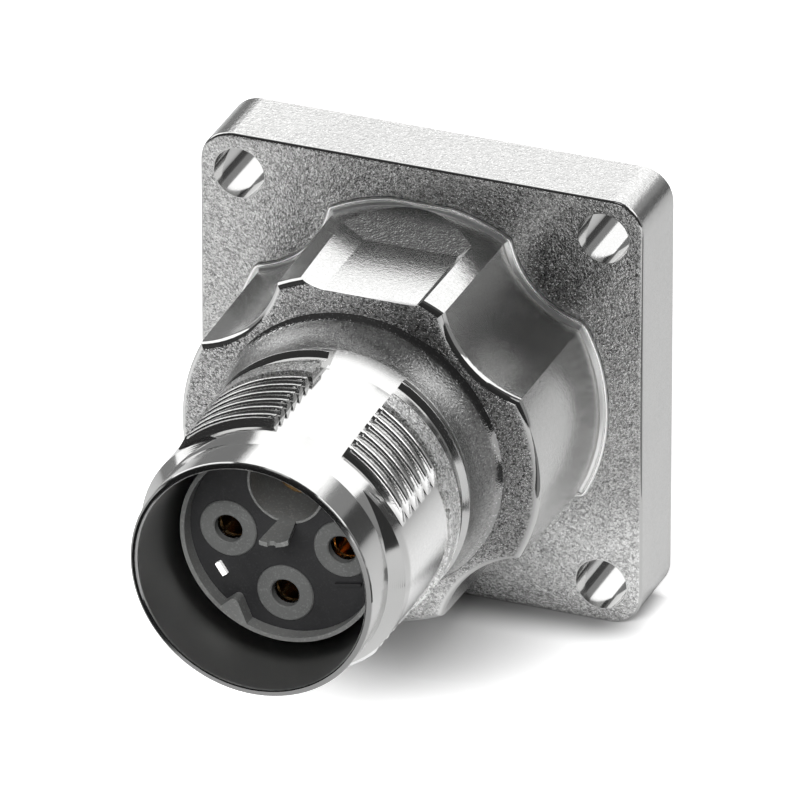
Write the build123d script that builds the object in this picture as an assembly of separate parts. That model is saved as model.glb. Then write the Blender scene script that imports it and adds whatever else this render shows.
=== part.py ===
from build123d import *
import os
from math import atan, cos, degrees, pi, radians, sin

os.makedirs("parts", exist_ok=True)

# Frame: the panel plane is Y = 0, the barrel points along -Y, +Z is up.
# A station s is a distance in front of the flange's front face.

# flange
FLANGE = 28.0
FLANGE_T = 5.0
CORNER_R = 2.0
FLANGE_EDGE_R = 0.25
HOLE_PITCH = 23.0
HOLE_D = 3.2
# lobed base behind the barrel
BODY_R = 11.5
BODY_LEN = 10.0
FRONT_EDGE_R = 0.6
FOOT_BEAD = 0.3
NECK_D = 16.2
COVE_R = 3.2
COVE_RISE = 1.0
WELL_R = 6.25
PAD_LEFT = 2.3
PAD_RIGHT = 3.6
PAD_BEVEL = 1.8
PAD_DEPTH = 1.15
PAD_REAR = 3.2
# barrel
BARREL_LEN = 26.9
THREAD_D = 17.0
PITCH = 1.0
THREAD_LEN = 6.5
PILOT_LEN = 4.4
SIDE_D = 16.6
LAND_OUT = 0.45
SIDE_OUT = 0.9
LIP_EDGE = 0.15
PILOT_RISE = 1.8
PILOT_D = 15.1
BORE_D = 14.2
REAR_BORE_D = 16.0
# inside
FACE_DEPTH = 5.5
POST_D = 11.96
RING_WALL = 0.27
RIB_RISE = 1.25
PIN_R = 4.79
CONTACT_R = 3.56
EARTH_R = 3.42
PIN_D = 1.6
EARTH_PIN_D = 2.0
SOCKET_WALL = 0.25
HOOD_WALL = 0.23
TOUCH_WALL = 0.46
TOUCH_LEN = 5.4
TOUCH_OUT = 0.15
TIP_DEPTH = 0.7
EARTH_DEPTH = 2.3
HOOD_OUT = 0.2
SOCKET_LEN = 6.2
COLLAR_BACK = 7.5
COLLAR_LEN = 1.5
COLLAR_STEP = 0.37
GUARD_D = 4.8
GUARD_LEN = 3.8
TONGUE_OUT = 2.85
TONGUE_WALL = 0.28
SLEEVE_GAP = 2.9
RING_OUT = 0.9
LEDGE_OUT = 0.22
SEAL_AT = 2.2
SEAL_W = 1.4
SEAL_DEPTH = 1.02
# behind the insert: shoulder, key, snap ring, earth spring, panel seal
SHOULDER_WALL = 0.9
REAR_SPLIT = 2.0
CLIP_AT = 2.6
KEY_W = 1.5
KEY_DEPTH = 0.45
CLIP_GROOVE_W = 1.0
CLIP_GROOVE_DEPTH = 0.6
CLIP_T = 0.98
CLIP_OUT = 0.55
CLIP_IN = 0.75
CLIP_LUG_R = 1.2
CLIP_LUG_IN = 1.15
CLIP_HOLE_D = 1.0
SPRING_EYE_R = 2.3
SPRING_W = 1.2
SPRING_T = 0.3
FLANGE_SEAL_IN = 1.05
FLANGE_SEAL_OUT = 2.75
FLANGE_SEAL_T = 1.1
# clearances
BORE_GAP = 0.03
REAR_GAP = 0.05
CAVITY_GAP = 0.05
FIT = 0.02

# values that follow
THREAD_DEPTH = 0.6 * PITCH
ROOT_R = THREAD_D / 2 - 0.05 - THREAD_DEPTH
CREST_R = ROOT_R + THREAD_DEPTH
PILOT_R = PILOT_D / 2
BORE_R = BORE_D / 2
REAR_R = REAR_BORE_D / 2
POST_R = POST_D / 2
GUARD_R = GUARD_D / 2
S_THREAD_END = BARREL_LEN - PILOT_LEN
S_THREAD = S_THREAD_END - THREAD_LEN
S_LATCH = S_THREAD - 2.35
S_FACE = BARREL_LEN - FACE_DEPTH
S_STEP = BODY_LEN - SHOULDER_WALL
S_SPLIT = S_STEP - REAR_SPLIT
S_BACK = CLIP_AT - FLANGE_T
# thread sectors from +X towards +Z, and the turn of the flat that each one runs out on
SECTORS = ((20, 60, 5), (92, 140, 155), (200, 240, 185), (272, 320, 335))
RINGS = ((92, 240), (272, 420))
SIDES = (170, 350)
CONTACTS = {"a": (-CONTACT_R, 0), "b": (0, -CONTACT_R), "c": (CONTACT_R, 0)}


def level(s):
    # Plane at a station: local x is X, local y is Z, and it extrudes forward.
    return Plane(origin=(0, -FLANGE_T - s, 0), x_dir=(1, 0, 0), z_dir=(0, -1, 0))


def lathe(points, arc=360):
    # Turns (radius, station) points; four numbers are an arc through the first pair.
    at = [(p[-2], -FLANGE_T - p[-1]) for p in points]
    edges = []
    for k, p in enumerate(points):
        if len(p) == 4:
            edges.append(ThreePointArc(at[k - 1], (p[0], -FLANGE_T - p[1]), at[k]))
        else:
            edges.append(Line(at[k - 1], at[k]))
    return revolve(make_face(edges), Axis.Y, arc)


def rod(r, s0, s1, x=0, z=0):
    return extrude(level(s0) * Pos(x, z) * Circle(r), s1 - s0)


def tube(r_out, r_in, s0, s1):
    return rod(r_out, s0, s1) - rod(r_in, s0 - 1, s1 + 1)


def block(x0, x1, z0, z1, s0, s1):
    width, height = x1 - x0, z1 - z0
    at = Pos((x0 + x1) / 2, (z0 + z1) / 2)
    return extrude(level(s0) * at * Rectangle(width, height), s1 - s0)


def sector(solid_points, a0, a1):
    # A turned solid between two angles counted from +X towards +Z.
    return Rot(0, -a1, 0) * lathe(solid_points, a1 - a0)


def corners(pitch):
    return [(x, z) for x in (-pitch / 2, pitch / 2) for z in (-pitch / 2, pitch / 2)]


def flange():
    plate = extrude(level(-FLANGE_T) * Rectangle(FLANGE, FLANGE), FLANGE_T)
    plate = fillet(plate.edges().filter_by(Axis.Y), CORNER_R)
    plate = fillet(plate.faces().sort_by(Axis.Y)[0].edges(), FLANGE_EDGE_R)
    return plate


def lobed_base():
    # A drafted cone, hollowed round each screw axis so that the screw heads fit.
    # Both profiles spread at the flange, which leaves a small sloped foot all the way round.
    foot = FOOT_BEAD
    base = lathe([(0, 0), (BODY_R + foot, 0), (BODY_R, foot), (BODY_R - 0.2, BODY_LEN), (0, BODY_LEN)])
    for x, z in corners(HOLE_PITCH):
        well = lathe([
            (0, -1), (WELL_R - foot, -1), (WELL_R - foot, 0), (WELL_R, foot),
            (WELL_R + 0.22, BODY_LEN + 1), (0, BODY_LEN + 1),
        ])
        base -= Pos(x, 0, z) * well
    return fillet(base.faces().sort_by(Axis.Y)[0].edges(), FRONT_EDGE_R)


def pad_recess():
    # Bare recess on the top lobe: flat floor, wide bevel on the left, long ramp at the back.
    floor, top = BODY_R - PAD_DEPTH, BODY_R + 1
    rise = top - floor
    back = (PAD_REAR - 0.35) / PAD_DEPTH
    long_way = Plane.YZ * make_face(
        Polyline(
            (-FLANGE_T - PAD_REAR, floor),
            (-FLANGE_T - PAD_REAR + back * rise, top),
            (-FLANGE_T - BODY_LEN - 1, top),
            (-FLANGE_T - BODY_LEN - 1, floor),
            close=True,
        )
    )
    across = level(0) * make_face(
        Polyline(
            (-PAD_LEFT, floor), (PAD_RIGHT, floor), (PAD_RIGHT + 1.5 * rise, top),
            (-PAD_LEFT - PAD_BEVEL / 0.39 * rise, top), close=True,
        )
    )
    ahead = extrude(across, BODY_LEN + 1)
    return extrude(long_way, 2 * BODY_R, both=True) & ahead


def barrel():
    neck, root = NECK_D / 2, ROOT_R
    face_r, along = neck + COVE_RISE, (2 * COVE_R * COVE_RISE - COVE_RISE**2) ** 0.5
    mid = atan(along / (COVE_R - COVE_RISE)) / 2
    return lathe([
        (0, BODY_LEN - 1.5),
        (face_r, BODY_LEN - 1.5),
        (face_r, BODY_LEN),
        (neck + COVE_R * (1 - cos(mid)), BODY_LEN + along - COVE_R * sin(mid), neck, BODY_LEN + along),
        (neck, S_LATCH - 1.0),
        (root, S_LATCH + 1.0),
        (root, S_THREAD_END),
        (PILOT_R, S_THREAD_END + PILOT_RISE),
        (PILOT_R, BARREL_LEN - LIP_EDGE),
        (PILOT_R - 0.35 * LIP_EDGE, BARREL_LEN - 0.3 * LIP_EDGE),
        (PILOT_R - LIP_EDGE, BARREL_LEN),
        (0, BARREL_LEN),
    ])


def latch_ring(a0, a1):
    # Slope up to a narrow rim, a shallow groove, then the land that the thread starts from.
    inner, floor, land = ROOT_R - 0.35, ROOT_R + 0.3, CREST_R - 0.04
    return sector([
        (inner, S_LATCH - 0.9), (NECK_D / 2 - 0.02, S_LATCH - 0.9), (CREST_R, S_LATCH), (CREST_R, S_LATCH + 0.1),
        (floor, S_LATCH + 0.4), (floor, S_LATCH + 1.35), (land, S_LATCH + 1.42),
        (land, S_THREAD + LAND_OUT), (inner, S_THREAD + LAND_OUT),
    ], a0, a1)


def side(turn):
    # Plain side between two thread sectors: an off-centre rod with a sloped front end.
    off, r = 1.3, SIDE_D / 2 - 1.3
    start, end = S_LATCH + 0.8, S_THREAD_END + SIDE_OUT
    at = Rot(0, -turn, 0) * Pos(off, 0, 0)
    slope = (SIDE_D / 2 - PILOT_R) * 1.5
    nose = lathe([(0, end - 0.1), (r, end - 0.1), (r, end), (r - SIDE_D / 2 + PILOT_R - 0.1, end + slope), (0, end + slope)])
    return at * (rod(r, start, end) + nose)


def thread(a0, a1, flat):
    # Ridges of one sector. A slight tilt about its middle gives them the helix slope.
    middle, half = (a0 + a1) / 2, (a1 - a0) / 2
    phase = PITCH * ((middle / 360 + 0.5) % 1 - 0.5)
    inner, foot, crest = ROOT_R - 0.35, 0.42 * PITCH, 0.1 * PITCH
    count = round(THREAD_LEN / PITCH - 0.5)
    points = [(inner, S_THREAD - 0.05), (ROOT_R, S_THREAD - 0.05)]
    for k in range(count):
        s = S_THREAD_END - foot - 0.12 - (count - 1 - k) * PITCH + phase
        points += [(ROOT_R, s - foot), (CREST_R, s - crest), (CREST_R, s + crest), (ROOT_R, s + foot)]
    points += [(inner, S_THREAD_END - 0.05)]
    ridges = sector(points, -half, half)
    lead = degrees(atan(PITCH / (2 * pi * ROOT_R)))
    pivot = Pos(0, -FLANGE_T - (S_THREAD + S_THREAD_END) / 2, 0)
    ridges = Rot(0, -middle, 0) * pivot * Rot(lead, 0, 0) * pivot.inverse() * ridges
    # the flat that the ridges run out on
    keep = block(-THREAD_D, ROOT_R, -THREAD_D, THREAD_D, S_THREAD - 1, S_THREAD_END + 1)
    return ridges & (Rot(0, -flat, 0) * keep)


def keyway(gap, s0, s1):
    half = KEY_W / 2 + gap
    return block(-half, half, -REAR_R - KEY_DEPTH - gap, -REAR_R + 1, s0, s1)


def housing():
    body = flange() + lobed_base() + barrel()
    for a0, a1 in RINGS:
        body += latch_ring(a0, a1)
    for turn in SIDES:
        body += side(turn)
    for a0, a1, flat in SECTORS:
        body += thread(a0, a1, flat)
    body -= pad_recess()
    # the mouth's edge is bevelled inside and out, down to a narrow rim
    wall = 0.8 * LIP_EDGE
    clip_r = REAR_R + CLIP_GROOVE_DEPTH
    bore = lathe([
        (0, -FLANGE_T - 1), (REAR_R + 0.2, -FLANGE_T - 1), (REAR_R, -FLANGE_T + 0.3),
        (REAR_R, S_BACK - CLIP_GROOVE_W), (clip_r, S_BACK - CLIP_GROOVE_W), (clip_r, S_BACK), (REAR_R, S_BACK),
        (REAR_R, S_STEP), (BORE_R, S_STEP), (BORE_R, BARREL_LEN - wall), (BORE_R + wall, BARREL_LEN),
        (BORE_R + wall, BARREL_LEN + 1), (0, BARREL_LEN + 1),
    ])
    body -= bore + keyway(REAR_GAP, -FLANGE_T - 1, S_STEP)
    seal_in, seal_out = REAR_R + FLANGE_SEAL_IN, REAR_R + FLANGE_SEAL_OUT
    body -= tube(seal_out, seal_in, -FLANGE_T - 1, -FLANGE_T + FLANGE_SEAL_T)
    for x, z in corners(HOLE_PITCH):
        body -= rod(HOLE_D / 2, -FLANGE_T - 1, 1, x, z)
    return body


def panel_seal():
    r0, r1 = REAR_R + FLANGE_SEAL_IN + FIT, REAR_R + FLANGE_SEAL_OUT - FIT
    s0, s1, c = -FLANGE_T, -FLANGE_T + FLANGE_SEAL_T, 0.3
    return lathe([(r0, s1), (r0, s0 + c), (r0 + c, s0), (r1 - c, s0), (r1, s0 + c), (r1, s1)])


def body_r(pin_d):
    # Outer radius of a contact's body and of the hood over its socket.
    return pin_d / 2 + SOCKET_WALL + FIT + HOOD_WALL


def collar_r(pin_d):
    return body_r(pin_d) + COLLAR_STEP


def touch_r():
    return body_r(PIN_D) + FIT + TOUCH_WALL


def spring_shape(gap):
    # Eye round the earth contact and a strap up to the bore wall.
    eye = Pos(0, EARTH_R) * Circle(SPRING_EYE_R + gap)
    height = REAR_R - 2 * FIT - EARTH_R
    strap = Pos(0, EARTH_R + height / 2) * Rectangle(SPRING_W + 2 * gap, height + 2 * gap)
    return eye + strap


def coding_pin(gap):
    shape = Rot(0, 0, 214) * Pos(PIN_R, 0) * Rectangle(0.33 + 2 * gap, 0.85 + 2 * gap)
    return extrude(level(S_FACE - 2) * shape, 2.25)


def insert_front():
    wide, in_bore = REAR_R - REAR_GAP, BORE_R - BORE_GAP
    seal_s, groove = S_STEP + SEAL_AT, in_bore - SEAL_DEPTH
    body = lathe([
        (0, S_SPLIT), (wide, S_SPLIT), (wide, S_STEP), (in_bore, S_STEP),
        (in_bore, seal_s), (groove, seal_s), (groove, seal_s + SEAL_W), (in_bore, seal_s + SEAL_W),
        (in_bore, S_FACE - SLEEVE_GAP), (POST_R, S_FACE - SLEEVE_GAP), (POST_R, S_FACE), (0, S_FACE),
    ])
    body += keyway(0, S_SPLIT, S_STEP)
    for x, z in CONTACTS.values():
        body -= rod(touch_r() + FIT, S_FACE - TOUCH_LEN, S_FACE + 1, x, z)
        body -= rod(body_r(PIN_D) + CAVITY_GAP, S_SPLIT - 1, S_FACE, x, z)
        body -= rod(collar_r(PIN_D) + CAVITY_GAP, S_SPLIT - 1, S_FACE - COLLAR_BACK, x, z)
    body -= rod(GUARD_R + FIT, S_FACE - GUARD_LEN, S_FACE + 1, 0, EARTH_R)
    body -= rod(body_r(EARTH_PIN_D) + CAVITY_GAP, S_SPLIT - 1, S_FACE, 0, EARTH_R)
    body -= rod(collar_r(EARTH_PIN_D) + CAVITY_GAP, S_SPLIT - 1, S_STEP - 0.2, 0, EARTH_R)
    body -= extrude(level(S_SPLIT) * spring_shape(CAVITY_GAP), SPRING_T + FIT)
    body -= block(-0.7, 0.7, REAR_R - 0.42, REAR_R + 1, S_SPLIT - 1, S_STEP + 1)
    body -= coding_pin(FIT)
    # moulded ledge under the right contact
    ledge = level(S_FACE - 0.1) * Pos(3.95, -2.2) * Rot(0, 0, 11) * Rectangle(1.65, 0.16)
    return body + extrude(ledge, 0.1 + LEDGE_OUT)


def coding_ring():
    # Thin ring round the post with one pointed rib, steeper on the side of the coding pin.
    r_in, r_out = POST_R + FIT, POST_R + FIT + RING_WALL
    ring = tube(r_out, r_in, S_FACE - SLEEVE_GAP, S_FACE + RING_OUT)
    foot, tip = r_out - 0.12, r_out - RIB_RISE
    rib = make_face(Polyline((foot, -1.1), (tip + 0.1, -0.72), (tip, -0.3), (foot, 1.1), close=True))
    rib += Pos(tip + 0.22, -0.47) * Circle(0.27)
    return ring + extrude(level(S_FACE) * Rot(0, 0, 241.5) * rib, RING_OUT)


def touch_ring(x, z):
    r_in, hole = body_r(PIN_D) + FIT, PIN_D / 2 + 0.07
    s0, s1 = S_FACE - TOUCH_LEN, S_FACE + TOUCH_OUT
    ring = lathe([
        (r_in, s0), (r_in, s1 - 0.55), (hole, s1 - 0.55), (hole, s1 - 0.08), (hole + 0.08, s1),
        (touch_r() - 0.08, s1), (touch_r(), s1 - 0.08), (touch_r(), s0),
    ])
    return Pos(x, 0, z) * ring


def contact(pin_d, s_collar, depth, x, z):
    # Turned female contact: slotted socket, collar, crimp barrel with a witness hole.
    bore, wall = pin_d / 2, pin_d / 2 + SOCKET_WALL
    body, collar = body_r(pin_d), collar_r(pin_d)
    tip, root, crimp = S_FACE - depth, S_FACE - depth - SOCKET_LEN, 1.0
    turned = lathe([
        (0, crimp + 5.5), (body - 0.35, crimp + 5.5), (body - 0.35, crimp), (body, crimp),
        (body, s_collar - COLLAR_LEN), (collar, s_collar - COLLAR_LEN), (collar, s_collar), (body, s_collar),
        (body, root), (wall, root), (wall, tip), (bore + 0.1, tip), (bore, tip - 0.15),
        (bore, root + 0.4), (0, root + 0.1),
    ])
    for turn in (45, 135):
        slot = level(root + 1.5) * Rot(0, 0, turn) * Rectangle(0.2, 4 * wall)
        turned -= extrude(slot, tip - root)
    turned -= Pos(0, -FLANGE_T - crimp - 5, 0) * extrude(Plane.XY * Circle(0.3), 2 * body)
    return Pos(x, 0, z) * turned


def hood(pin_d, depth, x, z):
    r_in, r_out = pin_d / 2 + SOCKET_WALL + FIT, body_r(pin_d)
    s0, s1 = S_FACE - depth - SOCKET_LEN, S_FACE - depth + HOOD_OUT
    lip = pin_d / 2 + 0.05
    return Pos(x, 0, z) * lathe([
        (r_in, s0), (r_in, s1 - 0.18), (lip, s1 - 0.18), (lip, s1), (r_out - 0.1, s1),
        (r_out, s1 - 0.1), (r_out, s0),
    ])


def earth_guard():
    # Sleeve of the recess with a notched tongue that stands out from its lower edge.
    r_in, out = GUARD_R - 0.14, TONGUE_OUT
    sleeve = tube(GUARD_R, r_in, S_FACE - GUARD_LEN, S_FACE)
    tongue = tube(r_in + TONGUE_WALL, r_in, S_FACE, S_FACE + out)
    low = -GUARD_R - 1
    window = level(S_FACE) * make_face(Polyline((-0.42, low), (0.62, low), (0.62, -1), (-0.42, -1), close=True))
    front = level(S_FACE + out) * make_face(
        Polyline((-0.52, low), (1.3, low), (1.3, -1), (-0.52, -1), close=True)
    )
    tongue &= loft([window, front])
    # round bite across the tongue's front end
    tip = Plane(origin=(0.25, -FLANGE_T - S_FACE - out, 0), x_dir=(1, 0, 0), z_dir=(0, 0, -1))
    tongue -= extrude(tip * Circle(0.26), GUARD_R + 1)
    return Pos(0, 0, EARTH_R) * (sleeve + tongue)


def earth_spring():
    flat = extrude(level(S_SPLIT + FIT) * spring_shape(0), SPRING_T - FIT)
    top = REAR_R - 2 * FIT
    strap = block(-SPRING_W / 2, SPRING_W / 2, top - SPRING_T, top, S_SPLIT + FIT, S_STEP - 0.1)
    return flat + strap - rod(body_r(EARTH_PIN_D) + FIT, S_SPLIT - 1, S_STEP, 0, EARTH_R)


def insert_rear():
    wide = REAR_R - REAR_GAP
    body = rod(wide, S_BACK, S_SPLIT) + keyway(0, S_BACK, S_SPLIT)
    body -= tube(wide - 0.8, wide - 1.9, S_BACK - 1, S_BACK + 5)
    for x, z in CONTACTS.values():
        body += rod(collar_r(PIN_D), S_SPLIT - 1, S_FACE - COLLAR_BACK - COLLAR_LEN, x, z)
    for x, z in CONTACTS.values():
        body -= rod(body_r(PIN_D) + CAVITY_GAP, S_BACK - 1, S_FACE, x, z)
        body -= rod(body_r(PIN_D) + 0.35, S_BACK - 1, 0.8, x, z)
    body -= rod(body_r(EARTH_PIN_D) + CAVITY_GAP, S_BACK - 1, S_SPLIT + 1, 0, EARTH_R)
    body -= rod(body_r(EARTH_PIN_D) + 0.35, S_BACK - 1, 0.8, 0, EARTH_R)
    return body


def insert_seal():
    r0, r1 = BORE_R - BORE_GAP - SEAL_DEPTH + FIT, BORE_R - FIT
    s0, s1, c = S_STEP + SEAL_AT + 0.1, S_STEP + SEAL_AT + SEAL_W - 0.1, 0.3
    return lathe([
        (r0, s0 + c), (r0 + c, s0), (r1 - c, s0), (r1, s0 + c), (r1, s1 - c), (r1 - c, s1),
        (r0 + c, s1), (r0, s1 - c),
    ])


def retaining_ring():
    # Snap ring open at the bottom, with a lug and a plier hole at each end.
    ring = tube(REAR_R + CLIP_OUT, REAR_R - CLIP_IN, S_BACK - CLIP_T, S_BACK)
    gap_a, lug_r = 22, REAR_R - CLIP_LUG_IN
    lugs = [(lug_r * cos(radians(a)), lug_r * sin(radians(a))) for a in (270 - gap_a, 270 + gap_a)]
    for x, z in lugs:
        ring += rod(CLIP_LUG_R, S_BACK - CLIP_T, S_BACK, x, z)
    half = lug_r * sin(radians(gap_a)) - CLIP_IN
    ring -= block(-half, half, -REAR_R - 2, -REAR_R / 2, S_BACK - 2, S_BACK + 1)
    for x, z in lugs:
        ring -= rod(CLIP_HOLE_D / 2, S_BACK - 2, S_BACK + 1, x, z)
    return ring


NODES = {
    "housing": housing(),
    "panel_seal": panel_seal(),
    "insert_front": insert_front(),
    "insert_rear": insert_rear(),
    "insert_seal": insert_seal(),
    "retaining_ring": retaining_ring(),
    "coding_ring": coding_ring(),
    "coding_pin": coding_pin(0),
    "earth_contact": contact(EARTH_PIN_D, S_STEP - 0.2, EARTH_DEPTH, 0, EARTH_R),
    "earth_hood": hood(EARTH_PIN_D, EARTH_DEPTH, 0, EARTH_R),
    "earth_guard": earth_guard(),
    "earth_spring": earth_spring(),
}
for key, (x, z) in CONTACTS.items():
    NODES["contact_" + key] = contact(PIN_D, S_FACE - COLLAR_BACK, TIP_DEPTH, x, z)
    NODES["contact_hood_" + key] = hood(PIN_D, TIP_DEPTH, x, z)
    NODES["touch_ring_" + key] = touch_ring(x, z)

for name, solid in NODES.items():
    export_step(solid, f"parts/{name}.step")
    print(name, "solids", len(solid.solids()), "volume", round(solid.volume, 2))
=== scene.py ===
# %% [markdown]
# # A panel mount connector, dressed for its portrait
#
# The object is a small square-flanged socket that bolts to a panel: one nickel plated
# casting with a thin barrel, and a dark insulating insert with three ringed power contacts
# and an earth contact inside its mouth. The solids are already made and packed. This script
# gives them their surfaces, adds the fine rounding that a plated thread has, and lights them.
#
# Everything is in metres in the packed frame: the panel plane is y = 0, the barrel points
# along -y, and +z is up. A "station" is a distance in front of the flange's front face.

# %% Load the packed frame
from math import atan, cos, pi, radians, sin, tan

import bmesh
import bpy
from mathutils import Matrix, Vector


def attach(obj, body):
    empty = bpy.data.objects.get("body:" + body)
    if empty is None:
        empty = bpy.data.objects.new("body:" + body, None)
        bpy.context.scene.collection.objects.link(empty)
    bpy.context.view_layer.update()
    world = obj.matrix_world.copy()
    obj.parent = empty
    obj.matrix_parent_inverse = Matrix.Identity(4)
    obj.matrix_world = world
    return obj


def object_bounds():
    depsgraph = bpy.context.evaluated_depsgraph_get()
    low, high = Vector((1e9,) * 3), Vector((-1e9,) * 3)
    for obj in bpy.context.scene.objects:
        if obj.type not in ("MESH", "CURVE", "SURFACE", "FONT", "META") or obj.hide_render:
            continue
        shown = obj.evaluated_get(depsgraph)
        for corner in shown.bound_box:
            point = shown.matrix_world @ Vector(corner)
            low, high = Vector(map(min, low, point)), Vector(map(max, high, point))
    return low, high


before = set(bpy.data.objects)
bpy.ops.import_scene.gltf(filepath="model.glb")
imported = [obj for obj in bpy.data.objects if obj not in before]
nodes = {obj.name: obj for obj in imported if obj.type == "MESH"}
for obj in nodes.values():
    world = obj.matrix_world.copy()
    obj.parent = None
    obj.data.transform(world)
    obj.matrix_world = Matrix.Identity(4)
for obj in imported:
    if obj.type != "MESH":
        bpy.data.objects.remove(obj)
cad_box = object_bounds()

scene = bpy.context.scene
print("solids in the frame:", len(nodes))
print("box in mm:", [[round(1000 * c, 2) for c in corner] for corner in cad_box])

# %% [markdown]
# ## Sizes that the looks need
#
# The materials change along the barrel: the flange is left as cast, the thread zone is
# turned, and so on. The same few lengths that shape the solids say where each zone starts.
# The overall length and the floor's height could be typed in too, but they are read from
# the frame's box, so that they can't disagree with the solids.

# %% Lengths of the housing, in millimetres
MM = 0.001
# the lip of the barrel and the lower edge of the flange
BOX_FRONT, BOX_BOTTOM = (round(c / MM, 2) for c in cad_box[0][1:])
FLANGE_T = 5.0
BODY_R = 11.5
BODY_LEN = 10.0
FOOT_BEAD = 0.3
PAD_REAR = 3.2
COVE_RIM_R = 9.1
HOLE_PITCH = 23.0
HOLE_R = 1.6
BARREL_LEN = -BOX_FRONT - FLANGE_T
PILOT_LEN = 4.4
THREAD_LEN = 6.5
PITCH = 1.0
ROOT_R = 7.85
CREST_R = 8.45
BORE_R = 7.1
RIDGES = 6
# start, end and turn of the run-out flat of each thread sector, in degrees from +x to +z
SECTORS = ((20, 60, 5), (92, 140, 155), (200, 240, 185), (272, 320, 335))
RINGS = ((92, 240), (272, 420))
THREAD_START = BARREL_LEN - PILOT_LEN - THREAD_LEN
THREAD_END = BARREL_LEN - PILOT_LEN
# the latch ring behind the thread: its narrow rim, and just inside both edges of its land
RIM = 13.70
LAND_BACK = 15.12
LAND_FRONT = 16.38


def station(s):
    """The y coordinate, in metres, of a station in millimetres."""
    return -(FLANGE_T + s) * MM


print("barrel:", BARREL_LEN, "mm, thread from y =", station(THREAD_START), "to", station(THREAD_END))

# %% [markdown]
# ## The camera
#
# The photograph looks at the connector from the front right and from above, through a long
# lens: the four edges of the flange stay almost parallel. An orthographic camera would come
# close, but a long lens a metre away keeps the little perspective that is left. The flange's
# front centre sits a little right of and above the middle of the picture, so the camera is
# slid sideways and down by that much instead of turned.

# %% Camera
AZIMUTH, ELEVATION = radians(21.5), radians(27.8)
DISTANCE = 1.0
PX_PER_MM = 16.925
FRAME_PX = 800
SLIDE_PX = (20.5, 21.1)
SENSOR_MM = 36


def slid(pixels):
    """Metres at the object for a number of pixels in the picture."""
    return pixels / PX_PER_MM * MM


back = Vector((sin(AZIMUTH) * cos(ELEVATION), -cos(AZIMUTH) * cos(ELEVATION), sin(ELEVATION)))
right = Vector((cos(AZIMUTH), sin(AZIMUTH), 0))
up = back.cross(right)
aim = Vector((0, station(0), 0)) - right * slid(SLIDE_PX[0]) - up * slid(SLIDE_PX[1])

camera_data = bpy.data.cameras.new("camera")
camera_data.sensor_width = SENSOR_MM
camera_data.lens = PX_PER_MM / MM * DISTANCE * SENSOR_MM / FRAME_PX
camera_data.clip_start, camera_data.clip_end = 0.05, 20
camera = bpy.data.objects.new("camera", camera_data)
camera.rotation_mode = "QUATERNION"
camera.location = aim + back * DISTANCE
camera.rotation_quaternion = (-back).to_track_quat("-Z", "Y")
scene.collection.objects.link(camera)
scene.camera = camera
scene.view_settings.view_transform = "Standard"
print("lens:", round(camera_data.lens), "mm")

# %% [markdown]
# ## Small helpers for nodes
#
# A material here is a handful of nodes. They could be joined by hand in the node editor,
# where it is hard to see what a number does. These helpers make one or two nodes each, so
# that the material cells read like a recipe: noise of this size, limited to that zone,
# mixed there. The geometry trees further down use them too.


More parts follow.
